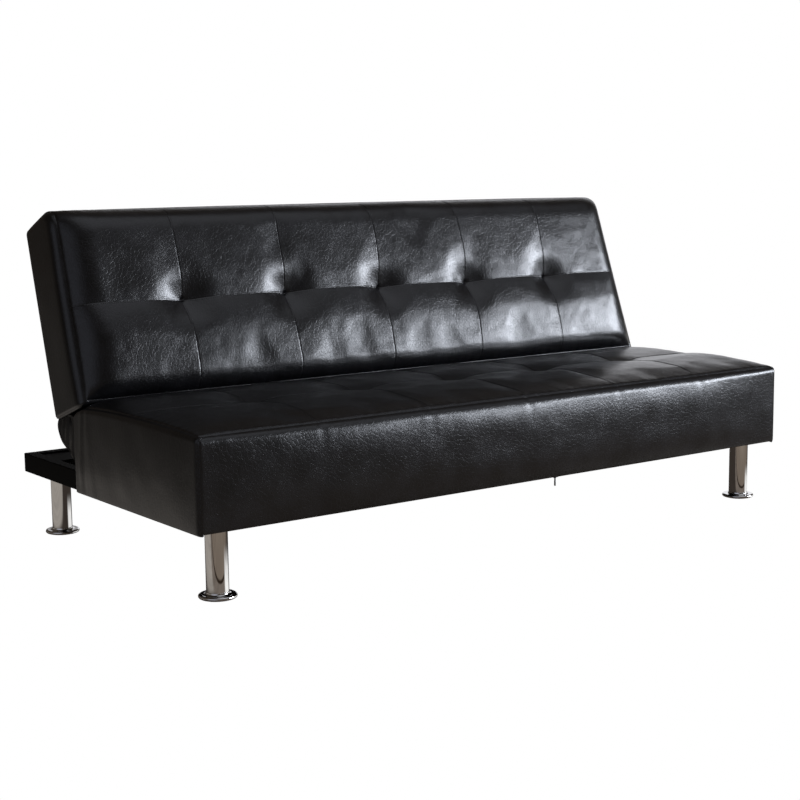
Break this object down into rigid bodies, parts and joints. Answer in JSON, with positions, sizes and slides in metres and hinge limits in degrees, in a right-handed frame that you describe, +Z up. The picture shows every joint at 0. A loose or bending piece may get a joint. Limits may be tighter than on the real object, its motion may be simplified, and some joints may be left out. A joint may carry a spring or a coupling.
{
  "type": "sofa bed",
  "caption": "Armless click-clack sofa bed with a tufted faux leather seat and folding back, a black base frame and round chrome legs with flange feet.",
  "frame": {"origin": "on the floor, under the middle of the whole sofa at rest", "axes": "+X along the sofa to the viewer's right from the front, front faces -Y, +Z up"},
  "size_m": [1.82, 0.93, 0.8299],
  "materials": {
    "faux_leather": "satin",
    "chrome": "polished",
    "black_timber": "satin",
    "pine": "matte",
    "zinc_steel": "satin",
    "spring_wire": "satin",
    "felt": "matte",
    "black_cloth": "matte",
    "webbing": "matte",
    "black_plastic": "matte"
  },
  "bodies": {
    "base": {"side_rail_left": "black_timber", "side_rail_right": "black_timber", "front_rail": "black_timber", "rear_rail": "black_timber", "mid_rail": "black_timber", "centre_rail": "black_timber", "corner_blocks": "black_timber", "leg_front_left": "chrome", "leg_front_right": "chrome", "leg_rear_left": "chrome", "leg_rear_right": "chrome", "foot_front_left": "chrome", "foot_front_right": "chrome", "foot_rear_left": "chrome", "foot_rear_right": "chrome", "foot_pads": "black_plastic", "leg_plates": "zinc_steel", "leg_screws": "zinc_steel", "seat_board_front": "pine", "seat_board_rear": "pine", "seat_board_left": "pine", "seat_board_right": "pine", "seat_springs": "spring_wire", "spring_clips": "zinc_steel", "seat_felt": "felt", "seat_cushion": "faux_leather", "seat_front_cover": "faux_leather", "seat_rear_cover": "faux_leather", "seat_side_cover_left": "faux_leather", "seat_side_cover_right": "faux_leather", "dust_cover": "black_cloth", "zip_tape": "black_cloth", "zip_teeth": "black_plastic", "gusset": "black_cloth", "seat_plate_left": "zinc_steel", "seat_plate_right": "zinc_steel", "hinge_pin_left": "zinc_steel", "hinge_pin_right": "zinc_steel", "hinge_bolts_seat": "zinc_steel"},
    "back": {"back_plate_left": "zinc_steel", "back_plate_right": "zinc_steel", "ratchet_case_left": "zinc_steel", "ratchet_case_right": "zinc_steel", "hinge_bolts_back": "zinc_steel", "back_top_rail": "pine", "back_bottom_rail": "pine", "back_stile_left": "pine", "back_stile_right": "pine", "back_mid_stiles": "pine", "back_webbing": "webbing", "back_cushion": "faux_leather", "back_top_cover": "faux_leather", "back_bottom_cover": "faux_leather", "back_side_cover_left": "faux_leather", "back_side_cover_right": "faux_leather", "back_rear_cover": "black_cloth"},
    "zip_slider": {"zip_slider": "zinc_steel"},
    "zip_pull": {"zip_pull": "zinc_steel"}
  },
  "joints": [
    {"name": "back_fold", "type": "hinge", "parent": "base", "child": "back", "pos_m": [0, 0.116, 0.3275], "axis": [1, 0, 0], "range_deg": [-71.5, 12], "deforming": ["gusset"]},
    {"name": "zip_run", "type": "slide", "parent": "base", "child": "zip_slider", "axis": [1, 0, 0], "range_m": [-0.54, 0.33]},
    {"name": "pull_swing", "type": "hinge", "parent": "zip_slider", "child": "zip_pull", "pos_m": [0.108, -0.44, 0.1507], "axis": [0, 1, 0], "range_deg": [-75, 75]}
  ]
}
